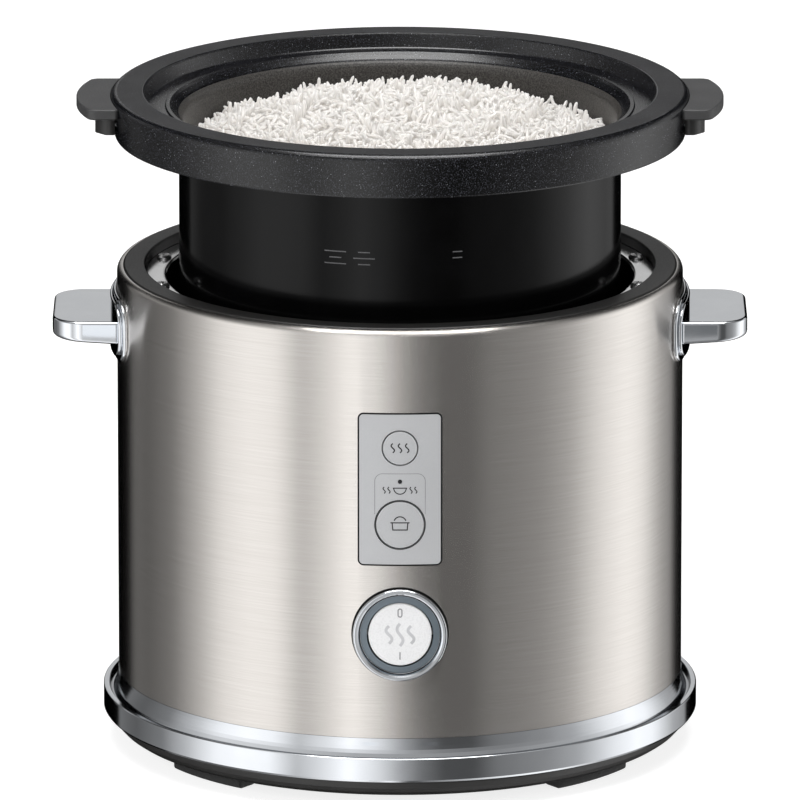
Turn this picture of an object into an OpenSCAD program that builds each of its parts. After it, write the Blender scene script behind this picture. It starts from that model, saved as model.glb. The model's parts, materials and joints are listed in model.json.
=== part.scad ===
// Round rice cooker: steel-clad heating base with a lift-out inner pot.
// Millimetres. Z is up, the feet stand on Z = 0 and the front faces -Y.

/* [Cooker body] */
// Outer radius of the steel shell
shell_r = 120; // [119:0.5:121]
// Wall thickness of the steel shell
shell_t = 0.8; // [0.6:0.1:0.9]
// Height of the top ring's flat face above the table
ring_z = 207; // [205:1:212]
// Radius of the opening in the top ring
mouth_r = 108; // [107:0.5:109]
// Height of the shell's lower edge
shell_z = 30.8; // [30.6:0.1:31]

/* [Base] */
// Height of the raised lip of the chrome base trim
lip_z = 23.6; // [23.4:0.1:23.8]
// Outer radius of the chrome base trim
trim_r = 126.5; // [126:0.5:127.5]
// Height of the rubber feet below the base pan
foot_h = 4.5; // [4:0.5:5]
// Angle of the feet from the front and from the back
foot_angle = 48; // [42:1:52]

/* [Well] */
// Inner radius of the well liner
well_r = 99; // [98:0.5:100]
// Height of the heating plate's top face
plate_z = 87.2; // [86:0.2:87.2]
// Radius of the heating plate
plate_r = 78; // [76:1:79]
// Height that the sensor stands above the heating plate
sensor_lift = 3; // [2:0.5:3]

/* [Inner pot] */
// Outer radius of the pot's wall
pot_r = 93.6; // [92:0.2:94]
// Wall thickness of the pot
pot_t = 1.8; // [1.6:0.1:2.2]
// Depth of the pot from rim to underside
pot_depth = 138; // [130:1:138]
// Outer radius of the pot's rim
rim_r = 122.4; // [121:0.2:123]
// Height of the rim's hanging skirt
skirt_h = 18.5; // [17:0.5:20]
// Height of the rim above the top ring, as shown lifted
pot_shown = 75; // [70:1:85]

/* [Front panel] */
// Width of the control panel
panel_w = 34; // [32:1:36]
// Height of the control panel
panel_h = 64.5; // [63:0.5:66]
// Height of the panel's centre above the table
panel_z = 138.5; // [136:0.5:141]
// Height of the power switch's centre above the table
switch_z = 76; // [75:0.5:77]
// Outer radius of the switch bezel
bezel_r = 19.8; // [19.6:0.1:20.6]
// Angle that the rocker leans each way
rocker_tilt = 4; // [2:0.5:4]

/* [Handles] */
// Height of the side handles' centre
handle_z = 183; // [180:1:184]
// Reach of each handle's tip from the cooker's axis
handle_reach = 147; // [142:1:150]
// Width of each handle, front to back
handle_w = 60; // [54:1:62]

/* [Hidden] */

$fn = 128;
eps = 0.01;
gap = 0.2;                             // ordinary assembly clearance
shell_in = shell_r - shell_t;
shoulder_r = 2.6;                      // rounding of the shell's top edge
shell_top = ring_z - 0.6;
pan_z = foot_h;                        // underside of the base pan
wall_z = 13.2;                         // joint between base pan and trim
ledge_z = ring_z - 4.5;                // the liner's flat ledge
ledge_hole_r = 103.5;                  // ring of liner screws
leg_angles = [14, 166, 194, 346];
floor_z = 62.8;                        // top of the liner's floor
liner_t = 0.8;
post_r = 64;                           // circle of heating plate posts
post_angles = [30, 150, 270];
plate_under = 76;                      // underside of the heating plate
element_r = 52;
board_y = -110;                        // front face of the control board
plate_out = shell_r + 0.2;             // outer radius of the panel plate
plate_in = shell_r - 1.4;              // inner radius of the panel plate
panel_top = panel_z + panel_h / 2;
reheat_z = panel_top - 14.35;
led_z = panel_top - 28.8;
cook_z = panel_top - 47.4;
reheat_r = 7.1;
cook_r = 9.9;
button_gap = 0.45;
pivot_y = -115;                        // rocker's axle, behind the shell's face
handle_screw_y = 15;
inlet_z = 56;
board_posts = [[-38, -24], [38, -24], [-38, 24], [38, 24]];
board_top = 15.6;
rim_z = ring_z + pot_shown;            // the pot's rim as shown
grip_screw_y = 14;
grip_screw_z = rim_z - 11;

steel = [0.76, 0.74, 0.71];
chrome = [0.85, 0.86, 0.88];
bright = [0.8, 0.8, 0.8];
black = [0.09, 0.09, 0.09];
charcoal = [0.16, 0.16, 0.17];

// Points along an arc about [x, y], from angle a to angle b
function arc(x, y, r, a, b, n = 6) =
    [for (i = [0:n]) let (t = a + (b - a) * i / n) [x + r * cos(t), y + r * sin(t)]];

// Outline of a rectangle with rounded corners, centred on the origin
function round_rect(w, h, r) = concat(
    arc(w / 2 - r, h / 2 - r, r, 0, 90), arc(r - w / 2, h / 2 - r, r, 90, 180),
    arc(r - w / 2, r - h / 2, r, 180, 270), arc(w / 2 - r, r - h / 2, r, 270, 360));

module revolve(points) { rotate_extrude() polygon(points); }

// A tube wall from radius a to radius b, standing on height z
module wall(a, b, z, h) {
    translate([0, 0, z]) difference() {
        cylinder(r = b, h = h);
        translate([0, 0, -1]) cylinder(r = a, h = h + 2);
    }
}

// Copies of a child at each angle round the axis
module around(angles) { for (a = angles) rotate([0, 0, a]) children(); }

// Prism along Y between y0 and y1, with its outline in X and Z
module prism_y(points, z, y0, y1) {
    translate([0, y1, z]) rotate([90, 0, 0]) linear_extrude(y1 - y0) polygon(points);
}

// Cylinder along Y between y0 and y1
module rod_y(r, x, z, y0, y1) {
    translate([x, y0, z]) rotate([-90, 0, 0]) cylinder(r = r, h = y1 - y0);
}

// Cylinder along X between x0 and x1
module rod_x(r, y, z, x0, x1) {
    translate([x0, y, z]) rotate([0, 90, 0]) cylinder(r = r, h = x1 - x0);
}

// A closed tube of eight sides along a path that lies square to one direction
module tube_along(path, r, across) {
    sides = 8;
    last = len(path) - 1;
    points = [for (i = [0:last])
        let (t = path[min(i + 1, last)] - path[max(i - 1, 0)])
        let (u = cross(across, t) / norm(cross(across, t)))
        let (v = cross(t, u) / norm(t))
        for (k = [0:sides - 1])
            path[i] + r * (u * cos(k * 360 / sides) + v * sin(k * 360 / sides))];
    skin = [for (i = [0:last - 1]) for (k = [0:sides - 1])
        let (a = i * sides + k)
        let (b = i * sides + (k + 1) % sides)
        [a, a + sides, b + sides, b]];
    start = [for (k = [0:sides - 1]) k];
    end = [for (k = [sides - 1:-1:0]) last * sides + k];
    polyhedron(points, concat([start], skin, [end]));
}

// ---------------------------------------------------------------- base

module base_pan() {
    bend = 11.7;
    t = 2.3;
    inner_x = 112.5;
    color(charcoal) difference() {
        union() {
            revolve(concat(
                [[0, pan_z]], arc(inner_x, pan_z + bend, bend, -90, -8),
                [[trim_r - 2.3, wall_z + 6], [trim_r - 4.5, wall_z + 6]],
                arc(inner_x, pan_z + bend, bend - t, -5, -90), [[0, pan_z + t]]));
            around(leg_angles) translate([ledge_hole_r + 2, 0, pan_z + 1]) cylinder(r = 5, h = 8);
            for (p = board_posts) translate([p[0], p[1], pan_z + 1])
                cylinder(r = 3.5, h = board_top - 2.7 - pan_z);
        }
        around(leg_angles) translate([ledge_hole_r + 2, 0, pan_z - 1]) {
            cylinder(r = 2.2, h = 12);
            cylinder(r = 4.2, h = 3.5);
        }
        for (p = board_posts) translate([p[0], p[1], pan_z + 2.5]) cylinder(r = 1.2, h = 9.5);
        for (a = foot_angles()) foot_shape(a, pan_z - eps, 1.2, 0.1);
        for (side = [-1, 1]) for (i = [-3:3])
            translate([side * 62 - 11, i * 7 - 1.5, pan_z - 1]) cube([22, 3, 5]);
    }
}

function foot_angles() = [270 - foot_angle, 270 + foot_angle, 90 + foot_angle, 90 - foot_angle];

// One arc-shaped pad, with play added on every side
module foot_shape(angle, z, h, play) {
    rotate([0, 0, angle - 11]) translate([0, 0, z])
        rotate_extrude(angle = 22)
            translate([101 - play, 0]) square([11 + 2 * play, h]);
}

module foot(index) {
    color(black) foot_shape(foot_angles()[index], 0, foot_h + 1.1, 0);
}

module base_screws() {
    color(bright) around(leg_angles) translate([ledge_hole_r + 2, 0, 0]) difference() {
        union() {
            translate([0, 0, pan_z + 0.3]) cylinder(r = 4, h = 2);
            translate([0, 0, pan_z + 0.3]) cylinder(r = 2, h = 14);
        }
        cross_slot(pan_z + 0.3);
    }
}

// Cross recess cut upward into a screw head that starts at height z
module cross_slot(z) {
    for (a = [0, 90]) rotate([0, 0, a]) translate([-1.8, -0.35, z - 1]) cube([3.6, 0.7, 2]);
}

module base_trim_ring() {
    cove_r = 20;
    groove_z = lip_z - 2.2;
    foot_of_cove = 27.7;
    color(chrome) revolve(concat(
        [[117.4, 15.4], [117.4, 36], [shell_in - gap, 36], [shell_in - gap, shell_z - 0.1]],
        arc(shell_r + 0.1 + cove_r, shell_z - 0.1, cove_r, 180, 180 + foot_of_cove),
        [[trim_r - 2.6, groove_z], [trim_r - 2.5, lip_z - 0.3], [trim_r - 2.2, lip_z]],
        arc(trim_r - 0.5, lip_z - 0.5, 0.5, 90, 0, 3),
        [[trim_r, wall_z + 1], [trim_r - 0.6, wall_z + 0.1], [trim_r - 1.9, wall_z + 0.1],
         [trim_r - 1.9, wall_z + 6.4], [119.4, wall_z + 6.4], [119.4, 15.4]]));
}

// --------------------------------------------------------------- shell

module outer_shell() {
    c = shell_r - shoulder_r;
    color(steel) difference() {
        revolve(concat(
            [[shell_in, shell_z], [shell_r, shell_z]],
            arc(c, shell_top - shoulder_r, shoulder_r, 0, 90, 8),
            arc(c, shell_top - shoulder_r, shoulder_r - shell_t, 90, 0, 8)));
        prism_y(round_rect(panel_w + 0.7, panel_h + 0.7, 2.1), panel_z, -130, -100);
        rod_y(17.5, 0, switch_z, -130, -100);
        for (side = [-1, 1]) for (y = [-1, 1])
            rod_x(2.4, y * handle_screw_y, handle_z, side * 120 - 10, side * 120 + 10);
        prism_y(round_rect(31, 24, 3), inlet_z, 100, 130);
        for (x = [-20, 20]) rod_y(1.8, x, inlet_z, 100, 130);
    }
}

module top_ring() {
    rim = shell_r - 3;
    c = shell_r - shoulder_r;
    s = shell_top - shoulder_r;
    color(charcoal) revolve(concat(
        [[mouth_r + 2, ledge_z + 0.2], [mouth_r + 2, ring_z - 2.5], [rim - 2.2, ring_z - 2.5],
         [rim - 2.2, ring_z - 16], [rim - 0.2, ring_z - 16], [rim - 0.2, s - 0.6]],
        [[c + 1.55, s - 0.6], [c + 1.55, s], [c + 0.9, s + 1.1], [rim, s + 1.5], [rim, ring_z - 0.4]],
        [[rim - 0.4, ring_z], [mouth_r + 0.8, ring_z]],
        arc(mouth_r + 0.8, ring_z - 0.8, 0.8, 90, 180, 4),
        [[mouth_r, ledge_z + 0.2]]));
}

module well_liner() {
    low = 92;
    foot = [well_r - 10, floor_z + 3];
    color(bright) difference() {
        revolve(concat(
            [[shell_r - 5.6, ledge_z], [well_r + 1.5, ledge_z]],
            arc(well_r + 1.5, ledge_z - 1.5, 1.5, 90, 180, 4),
            [[well_r, low], foot, [foot[0] - 4, floor_z], [20, floor_z], [20, floor_z - liner_t]],
            [[foot[0] - 3.5, floor_z - liner_t], [foot[0] + 0.8, foot[1] - 0.4], [well_r + liner_t, low]],
            [[well_r + liner_t, ledge_z - liner_t], [shell_r - 5.6, ledge_z - liner_t]]));
        around(leg_angles) translate([ledge_hole_r, 0, ledge_z - 5]) cylinder(r = 2, h = 10);
        around(post_angles) translate([post_r, 0, floor_z - 5]) cylinder(r = 2.3, h = 10);
        for (a = [-1, 1]) rotate([0, 0, 90 + a * 14])
            translate([element_r, 0, floor_z - 5]) cylinder(r = 4.5, h = 10);
        around(bracket_angles) translate([25, 0, floor_z - 5]) cylinder(r = 1.5, h = 10);
    }
}

module liner_screws() {
    color(bright) around(leg_angles) translate([ledge_hole_r, 0, 0]) {
        difference() {
            translate([0, 0, ledge_z + 0.05]) revolve([[0, 0], [3.2, 0], [3.2, 0.7], [2.4, 1.6], [0, 1.9]]);
            translate([0, 0, 2 * ledge_z + 2.3]) mirror([0, 0, 1]) cross_slot(ledge_z + 0.5);
        }
        translate([0, 0, ledge_z - 6]) cylinder(r = 1.7, h = 6.1);
    }
}

// Sheet legs that carry the liner's flange from the base pan
module support_legs() {
    top = ledge_z - liner_t - 0.1;
    foot = pan_z + 9.1;
    color(bright) around(leg_angles) difference() {
        union() {
            translate([108.2, -6, foot]) cube([1.5, 12, top - foot]);
            translate([100.8, -5.5, top - 1.5]) cube([8, 11, 1.5]);
            translate([100.8, -5.5, foot]) cube([8, 11, 1.5]);
        }
        translate([ledge_hole_r, 0, top - 5]) cylinder(r = 2, h = 10);
        translate([ledge_hole_r + 2, 0, foot - 1]) cylinder(r = 2.2, h = 4);
    }
}

// -------------------------------------------------------------- heater

module heating_plate() {
    color([0.66, 0.67, 0.68]) difference() {
        revolve([[17.5, plate_under], [17.5, plate_z - 0.5], [18, plate_z], [plate_r - 1.6, plate_z],
                 [plate_r, plate_z - 1.6], [plate_r, plate_under + 2], [plate_r - 4, plate_under]]);
        translate([0, 0, plate_under]) rotate_extrude() translate([element_r, 0]) circle(r = 3.9);
        around(post_angles) translate([post_r, 0, plate_under - 1]) cylinder(r = 2.2, h = 7);
    }
}

module heating_element() {
    color([0.35, 0.33, 0.32]) {
        rotate([0, 0, 104]) translate([0, 0, plate_under])
            rotate_extrude(angle = 332) translate([element_r, 0]) circle(r = 3.6);
        for (a = [-1, 1]) rotate([0, 0, 90 + a * 14])
            translate([element_r, 0, 52]) cylinder(r = 2.4, h = plate_under - 52);
    }
}

module plate_spacers() {
    color([0.9, 0.88, 0.82]) around(post_angles) translate([post_r, 0, floor_z + 0.05]) difference() {
        cylinder(r = 4, h = plate_under - floor_z - 0.1);
        translate([0, 0, -1]) cylinder(r = 2.3, h = 20);
    }
}

module plate_screws() {
    color(bright) around(post_angles) translate([post_r, 0, 0]) difference() {
        union() {
            translate([0, 0, floor_z - liner_t - 3]) cylinder(r = 4, h = 2.9);
            translate([0, 0, floor_z - liner_t - 3]) cylinder(r = 2, h = 21);
        }
        cross_slot(floor_z - liner_t - 3);
    }
}

module thermal_fuse() {
    color([0.85, 0.8, 0.6]) rod_x(2.5, 36, plate_under - 2.8, -8, 8);
}

module fuse_clamp() {
    color(bright) difference() {
        translate([-4, 31, plate_under - 6.2]) cube([8, 10, 6.1]);
        rod_x(2.6, 36, plate_under - 2.8, -9, 9);
    }
}

bracket_angles = [0, 120, 240];

// Guide below the liner's floor in which the sensor's stem slides
module sensor_bracket() {
    under = floor_z - liner_t - 0.1;
    color(bright) difference() {
        union() {
            translate([0, 0, under - 2]) cylinder(r = 29, h = 2);
            translate([0, 0, 50]) cylinder(r = 8, h = under - 50.5);
        }
        translate([0, 0, 40]) cylinder(r = 5.08, h = 30);
        around(bracket_angles) translate([25, 0, 40]) cylinder(r = 1.5, h = 30);
    }
}

module sensor_spring() {
    low = floor_z - liner_t + 1;
    high = plate_z + sensor_lift - 10.6;
    turns = 5;
    steps = 60;
    path = [for (i = [0:steps]) let (t = 360 * turns * i / steps)
        [8.5 * cos(t), 8.5 * sin(t), low + (high - low) * i / steps]];
    color(bright) tube_along(path, 0.6, [0, 0, 1]);
}

// Cap, stem and retaining clip of the centre thermostat
module temperature_sensor() {
    top = plate_z + sensor_lift;
    color(bright) difference() {
        union() {
            revolve([[0, top - 9], [16.2, top - 9], [16.2, top - 7.5], [15, top - 7.5],
                     [15, top - 1], [14, top], [0, top]]);
            translate([0, 0, 46]) cylinder(r = 5, h = top - 9 - 46 + eps);
            translate([0, 0, 47.6]) cylinder(r = 7, h = 2);
        }
        translate([0, 0, 40]) cylinder(r = 2, h = 30);
    }
}

// Band heater round the liner, with a split at the back and a clamping screw
module keep_warm_heater() {
    z = 112;
    color([0.72, 0.62, 0.42]) difference() {
        union() {
            wall(well_r + liner_t + 0.2, well_r + liner_t + 1.6, z, 22);
            translate([-6, well_r + 1.4, z]) cube([12, 6, 22]);
        }
        translate([-1.5, well_r - 5, z - 1]) cube([3, 16, 24]);
        for (h = [6, 16]) rod_x(1.4, well_r + 5, z + h, -8, 8);
        wall(well_r - 8, well_r + liner_t + 0.2, z - 1, 24);
    }
}

// --------------------------------------------------------------- panel

// Part of a shallow cylinder wall, cut to an outline on the front
module curved_front(points, z, r0, r1) {
    intersection() {
        wall(r0, r1, z - 45, 90);
        prism_y(points, z, -130, -90);
    }
}

module panel_plate() {
    color([0.77, 0.78, 0.8]) difference() {
        curved_front(round_rect(panel_w, panel_h, 1.8), panel_z, plate_in, plate_out);
        rod_y(reheat_r + button_gap, 0, reheat_z, -130, -100);
        rod_y(cook_r + button_gap, 0, cook_z, -130, -100);
        rod_y(0.95, 0, led_z, -130, -100);
    }
}

module panel_frame() {
    outer = plate_in - 0.1;
    color(black) difference() {
        union() {
            curved_front(round_rect(panel_w + 6, panel_h + 6, 3), panel_z, outer - 1.5, outer);
            for (x = [-1, 1]) for (z = [-1, 1])
                rod_y(2.4, x * 15.5, panel_z + z * 30.5, board_y + 0.1 - 7, board_y - 0.1);
        }
        rod_y(reheat_r + 2.4, 0, reheat_z, -130, -100);
        rod_y(cook_r + 2.4, 0, cook_z, -130, -100);
        rod_y(1.1, 0, led_z, -130, -100);
        for (x = [-1, 1]) for (z = [-1, 1])
            rod_y(1.1, x * 15.5, panel_z + z * 30.5, -115, -100);
    }
}

module control_board() {
    color([0.1, 0.35, 0.2]) difference() {
        prism_y(round_rect(37, 68, 1.5), panel_z, board_y, board_y + 1.6);
        for (x = [-1, 1]) for (z = [-1, 1])
            rod_y(1.3, x * 15.5, panel_z + z * 30.5, -115, -100);
    }
}

module panel_screws() {
    color(bright) for (x = [-1, 1]) for (z = [-1, 1]) {
        rod_y(2.2, x * 15.5, panel_z + z * 30.5, board_y + 1.7, board_y + 3.3);
        rod_y(1, x * 15.5, panel_z + z * 30.5, board_y - 4.5, board_y + 1.8);
    }
}

module tact_switches() {
    color(black) for (z = [reheat_z, cook_z]) {
        translate([-3, board_y - 3.6, z - 3]) cube([6, 3.5, 6]);
        rod_y(1.7, 0, z, board_y - 4.6, board_y - 3.5);
    }
}

module indicator_led() {
    color([1, 0.6, 0.1]) rod_y(1.5, 0, led_z, board_y - 2.6, board_y - 0.1);
}

module light_pipe() {
    color([0.9, 0.9, 0.9]) rod_y(0.8, 0, led_z, -shell_r - 0.1, board_y - 2.8);
}

// A push button: curved face, retaining flange and stem
module push_button(r, z) {
    flange = -plate_in + 1;
    color([0.78, 0.79, 0.81]) {
        intersection() {
            wall(plate_in - 2, plate_out, z - 20, 40);
            rod_y(r, 0, z, -130, -100);
        }
        rod_y(r + 1.4, 0, z, flange, flange + 1.2);
        rod_y(2, 0, z, flange, board_y - 5.8);
    }
}

module reheat_button() { push_button(reheat_r, reheat_z); }

module cook_button() { push_button(cook_r, cook_z); }

// -------------------------------------------------------------- switch

// Revolves an outline of [radius, distance out of the shell's face] about the switch's axis
module turned_switch(points) {
    translate([0, -shell_r, switch_z]) rotate([90, 0, 0]) revolve(points);
}

module switch_bezel() {
    lip = 0.8;
    color(chrome) union() {
        difference() {
            turned_switch(concat(
                [[17.2, -4], [bezel_r, -4], [bezel_r, 1.6]], arc(bezel_r - lip, 1.8, lip, 0, 90, 5),
                [[18.1, 2.6], [17.5, 2.1], [17.2, 1.4]]));
            cylinder(r = shell_r + 0.06, h = 250);
        }
        turned_switch([[16.7, -8], [17.3, -8], [17.3, 1.4], [16.7, 0.9]]);
    }
}

module switch_trim_ring() {
    color([0.5, 0.55, 0.6]) difference() {
        turned_switch([[13.9, -8], [16.6, -8], [16.6, 0.5], [13.9, 0.7]]);
        rod_x(1.56, pivot_y, switch_z, -20, 20);
    }
}

module switch_body() {
    color(black) difference() {
        turned_switch([[0, -19], [16, -19], [16, -8.1], [13.9, -8.1], [13.9, -17.5], [0, -17.5]]);
        for (x = [-6, 0, 6]) translate([x - 0.6, -103, switch_z - 9]) cube([1.2, 5, 5]);
    }
}

module switch_terminals() {
    color([0.8, 0.65, 0.3]) for (x = [-6, 0, 6])
        translate([x - 0.4, -102.3, switch_z - 8.8]) cube([0.8, 9, 4.6]);
}

// White rocker disc with its block and axle, leaning to its off position
module power_rocker() {
    front = 7.2;
    color([0.93, 0.93, 0.94]) translate([0, pivot_y, switch_z]) rotate([-rocker_tilt, 0, 0]) {
        rotate([90, 0, 0]) revolve([[0, 4.4], [13.1, 4.4], [13.2, 4.6], [13.2, front - 0.6],
                                    [12.7, front - 0.1], [11, front], [0, front + 0.15]]);
        translate([-9.5, -4.5, -6]) cube([19, 10, 12]);
        rod_x(1.5, 0, 0, -15.8, 15.8);
    }
}

// ------------------------------------------------------------- handles

// Part of the cylinder wall from r0 to r1 at the right side, cut to a rounded outline
module side_patch(w, h, corner, r0, r1) {
    intersection() {
        wall(r0, r1, handle_z - 30, 60);
        translate([90, 0, handle_z]) rotate([90, 0, 90]) linear_extrude(60)
            polygon(round_rect(w, h, corner));
    }
}

module handle_plate(side) {
    color(chrome) mirror([side < 0 ? 1 : 0, 0, 0]) difference() {
        side_patch(68, 27.4, 11, shell_r + 0.08, shell_r + 1.6);
        for (y = [-1, 1]) rod_x(2.4, y * handle_screw_y, handle_z, 100, 140);
    }
}

module handle(side) {
    r0 = shell_r + 1.7;
    corner = 13;
    tip = handle_reach;
    color(chrome) mirror([side < 0 ? 1 : 0, 0, 0]) difference() {
        union() {
            side_patch(64, 23, 10, r0, r0 + 1.3);
            difference() {
                translate([0, 0, handle_z - 5]) linear_extrude(10) polygon(concat(
                    [[100, -handle_w / 2]],
                    arc(tip - corner, corner - handle_w / 2, corner, -90, 0),
                    arc(tip - corner, handle_w / 2 - corner, corner, 0, 90),
                    [[100, handle_w / 2]]));
                cylinder(r = r0, h = 250);
                translate([shell_r, -50, handle_z - 5]) rotate([0, -4, 0])
                    translate([0, 0, -10]) cube([50, 100, 10]);
            }
        }
        for (y = [-1, 1]) rod_x(2.1, y * handle_screw_y, handle_z, 100, 138);
    }
}

module handle_backing(side) {
    color(bright) mirror([side < 0 ? 1 : 0, 0, 0]) difference() {
        side_patch(46, 16, 4, shell_in - 1.6, shell_in - 0.1);
        for (y = [-1, 1]) rod_x(2.4, y * handle_screw_y, handle_z, 100, 140);
    }
}

module handle_screws() {
    color(bright) for (side = [0, 1]) mirror([side, 0, 0]) for (y = [-1, 1]) {
        rod_x(4, y * handle_screw_y, handle_z, 112.6, 115.6);
        rod_x(2, y * handle_screw_y, handle_z, 115.5, 136);
    }
}

// --------------------------------------------------------------- inlet

module power_inlet() {
    mouth = 120;
    color(black) difference() {
        union() {
            intersection() {
                wall(shell_r + 0.08, shell_r + 1.8, inlet_z - 30, 60);
                prism_y(round_rect(52, 30, 4), inlet_z, 100, 130);
            }
            prism_y(round_rect(30.4, 23.4, 2.8), inlet_z, 98, shell_r + 0.9);
        }
        prism_y(inlet_socket(), inlet_z, 101, mouth + 5);
        for (x = [-20, 20]) rod_y(1.7, x, inlet_z, 100, 130);
        for (x = [-20, 20]) rod_y(3.3, x, inlet_z, 119.4, 130);
        for (p = inlet_pin_places()) translate([p[0] - 1.05, 97, inlet_z + p[1] - 2.05]) cube([2.1, 5, 4.1]);
    }
}

// Six-sided mouth of an appliance inlet
function inlet_socket() = [[-12.3, -8.2], [12.3, -8.2], [12.3, 3.5], [7.6, 8.2], [-7.6, 8.2], [-12.3, 3.5]];
function inlet_pin_places() = [[-7, -1.5], [0, 2.5], [7, -1.5]];

module inlet_pins() {
    color(chrome) for (p = inlet_pin_places())
        translate([p[0] - 1, 94, inlet_z + p[1] - 2]) cube([2, 22, 4]);
}

module inlet_screws() {
    color(bright) for (x = [-20, 20]) {
        rod_y(3, x, inlet_z, 119.5, 121.2);
        rod_y(1.5, x, inlet_z, 111, 119.6);
    }
}

// --------------------------------------------------------- electronics

module power_board() {
    color([0.12, 0.4, 0.22]) difference() {
        translate([-43, -29, board_top - 1.6]) cube([86, 58, 1.6]);
        for (p = board_posts) translate([p[0], p[1], 0]) cylinder(r = 1.4, h = 30);
    }
}

module board_screws() {
    color(bright) for (p = board_posts) translate([p[0], p[1], 0]) {
        translate([0, 0, board_top + 0.1]) cylinder(r = 2.6, h = 1.6);
        translate([0, 0, board_top - 8]) cylinder(r = 1, h = 8.2);
    }
}

module power_relay() {
    color([0.15, 0.3, 0.6]) translate([12, -20, board_top + 0.1]) cube([16, 19, 15.5]);
}

module transformer() {
    color([0.75, 0.6, 0.2]) {
        translate([-32, -14, board_top + 0.1]) cube([26, 8, 24]);
        translate([-32, 6, board_top + 0.1]) cube([26, 8, 24]);
        translate([-26, -6.5, board_top + 2]) cube([14, 13, 20]);
    }
}

module terminal_block() {
    color([0.92, 0.9, 0.84]) difference() {
        translate([-16, 62, pan_z + 2.4]) cube([32, 12, 12]);
        for (x = [-10, 0, 10]) translate([x, 68, pan_z + 8]) cylinder(r = 2.2, h = 10);
    }
}

// Smooth bend of a wire that leaves point a along Y and meets point b along Z
function bend(a, b, n = 10) = [for (i = [0:n]) let (t = 90 * i / n)
    [a[0] + (b[0] - a[0]) * (1 - cos(t)), a[1] + (b[1] - a[1]) * sin(t), a[2] + (b[2] - a[2]) * (1 - cos(t))]];

module internal_wires() {
    color([0.6, 0.1, 0.1]) {
        for (p = inlet_pin_places())
            tube_along(bend([p[0], 93.8, inlet_z + p[1]], [p[0], 71, pan_z + 14.6]), 1.2, [1, 0, 0]);
        for (x = [-6, 6])
            tube_along(bend([x, -28, board_top + 2], [x, -97, switch_z - 9]), 1.2, [1, 0, 0]);
    }
}

// ----------------------------------------------------------------- pot

module inner_pot() {
    corner = 12;
    r_in = pot_r - pot_t;
    floor_t = 2.5;
    dish = 3.5;                        // hollow under the floor that clears the raised sensor
    z = rim_z;
    low = rim_z - pot_depth;
    color([0.2, 0.21, 0.22]) difference() {
        revolve(concat(
            [[rim_r - 4, z - skirt_h + 0.4], [rim_r - 3.6, z - skirt_h], [rim_r - 2, z - skirt_h],
             [rim_r - 1.7, z - skirt_h + 0.5]],
            arc(rim_r - 3, z - 3, 3, 0, 90, 8),
            [[mouth_r + 1, z]], arc(mouth_r + 1, z - 1, 1, 90, 180, 4),
            [[mouth_r - 1.4, z - 6], [mouth_r - 1.8, z - 6.4], [99.4, z - 6.6], [98.9, z - 5.9],
             [97.4, z - 5.9], [96.4, z - 7]],
            arc(r_in + 5, z - 13, 5, 115, 180, 5),
            arc(r_in - corner + pot_t, low + corner, corner - pot_t, 0, -76, 8),
            [[70, low + floor_t], [31, low + floor_t], [25, low + floor_t + dish],
             [0, low + floor_t + dish], [0, low + dish], [24, low + dish], [29, low]],
            arc(pot_r - corner, low + corner, corner, -90, 0, 8),
            arc(pot_r + 4, z - 13.4, 4, 180, 110, 5),
            [[mouth_r + 0.4, z - 8.7], [mouth_r + 2, z - 2.4], [rim_r - 4, z - 2.4]]));
        for (side = [-1, 1]) for (y = [-1, 1])
            rod_x(1.8, y * grip_screw_y, grip_screw_z, side * 118 - 6, side * 118 + 6);
    }
}

// One pot grip: a flat finger plate over a bracket against the skirt
module pot_grip(side) {
    reach = 136.8;
    half = 30;
    corner = 4.5;
    end_r = reach - 60;
    end_angle = asin((half - corner) / (end_r - corner));
    corner_x = 60 + (end_r - corner) * cos(end_angle);
    color(black) mirror([side < 0 ? 1 : 0, 0, 0]) difference() {
        union() {
            translate([0, 0, rim_z - 6.6]) linear_extrude(4.6) polygon(concat(
                [[100, -half]], arc(corner_x, corner - half, corner, -90, -end_angle),
                arc(60, 0, end_r, -end_angle, end_angle, 16),
                arc(corner_x, half - corner, corner, end_angle, 90), [[100, half]]));
            translate([0, 0, rim_z - 14.5]) linear_extrude(8) polygon([
                [100, -24], [124, -24], [128.5, -19], [128.5, 19], [124, 24], [100, 24]]);
        }
        cylinder(r = rim_r + 0.08, h = 400);
        for (y = [-1, 1]) rod_x(1.6, y * grip_screw_y, grip_screw_z, 100, 127.5);
    }
}

module grip_screws() {
    color(bright) for (side = [0, 1]) mirror([side, 0, 0]) for (y = [-1, 1]) {
        rod_x(3, y * grip_screw_y, grip_screw_z, 113.8, 116.8);
        rod_x(1.5, y * grip_screw_y, grip_screw_z, 116.7, 126.5);
    }
}

base_pan();
base_trim_ring();
foot(0);  // foot_front_left
foot(1);  // foot_front_right
foot(2);  // foot_rear_left
foot(3);  // foot_rear_right
base_screws();
outer_shell();
top_ring();
well_liner();
liner_screws();
support_legs();
heating_plate();
heating_element();
plate_spacers();
plate_screws();
thermal_fuse();
fuse_clamp();
sensor_bracket();
sensor_spring();
temperature_sensor();
keep_warm_heater();
panel_plate();
panel_frame();
panel_screws();
control_board();
tact_switches();
indicator_led();
light_pipe();
reheat_button();
cook_button();
switch_bezel();
switch_trim_ring();
switch_body();
switch_terminals();
power_rocker();
handle(-1);  // handle_left
handle(1);  // handle_right
handle_plate(-1);  // handle_plate_left
handle_plate(1);  // handle_plate_right
handle_backing(-1);  // handle_backing_left
handle_backing(1);  // handle_backing_right
handle_screws();
power_inlet();
inlet_pins();
inlet_screws();
power_board();
power_relay();
transformer();
board_screws();
terminal_block();
internal_wires();
inner_pot();
pot_grip(-1);  // pot_grip_left
pot_grip(1);  // pot_grip_right
grip_screws();
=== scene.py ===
"""Studio scene of a round steel rice cooker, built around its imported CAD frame. Lengths are in metres."""
import json
import math
import random

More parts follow.
